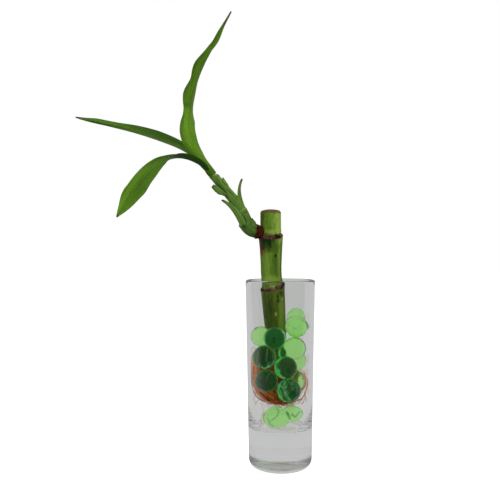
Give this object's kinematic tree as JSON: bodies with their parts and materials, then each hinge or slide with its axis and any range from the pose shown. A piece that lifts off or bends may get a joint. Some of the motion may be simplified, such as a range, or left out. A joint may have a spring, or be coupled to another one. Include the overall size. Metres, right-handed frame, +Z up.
{
  "type": "lucky bamboo",
  "caption": "Lucky bamboo cutting with a leafy side shoot, rooted among green gel water beads in a tall, thick-based clear glass.",
  "frame": {"origin": "middle of the glass's foot, on the surface that it stands on", "axes": "+Z up along the glass, +X to the right and +Y away from the viewer, with the shoot leaning towards -X"},
  "size_m": [0.1409, 0.0485, 0.2589],
  "materials": {
    "glass": "clear, polished",
    "cane": "smooth living bark with ringed leaf scars",
    "shoot": "waxy green sheaths",
    "dry_scale": "dry, papery",
    "roots": "wet, fibrous",
    "leaf": "satin, with fine parallel veins",
    "water_bead": "clear wet gel"
  },
  "bodies": {
    "root": {"glass": "glass", "cane": "cane", "shoot": "shoot", "shoot_collar": "dry_scale", "roots": "roots", "leaf_hanging": "leaf", "leaf_upright": "leaf", "leaf_reaching": "leaf", "water_bead_01": "water_bead", "water_bead_02": "water_bead", "water_bead_03": "water_bead", "water_bead_04": "water_bead", "water_bead_05": "water_bead", "water_bead_06": "water_bead", "water_bead_07": "water_bead", "water_bead_08": "water_bead", "water_bead_09": "water_bead", "water_bead_10": "water_bead", "water_bead_11": "water_bead", "water_bead_12": "water_bead", "water_bead_13": "water_bead"}
  },
  "joints": []
}
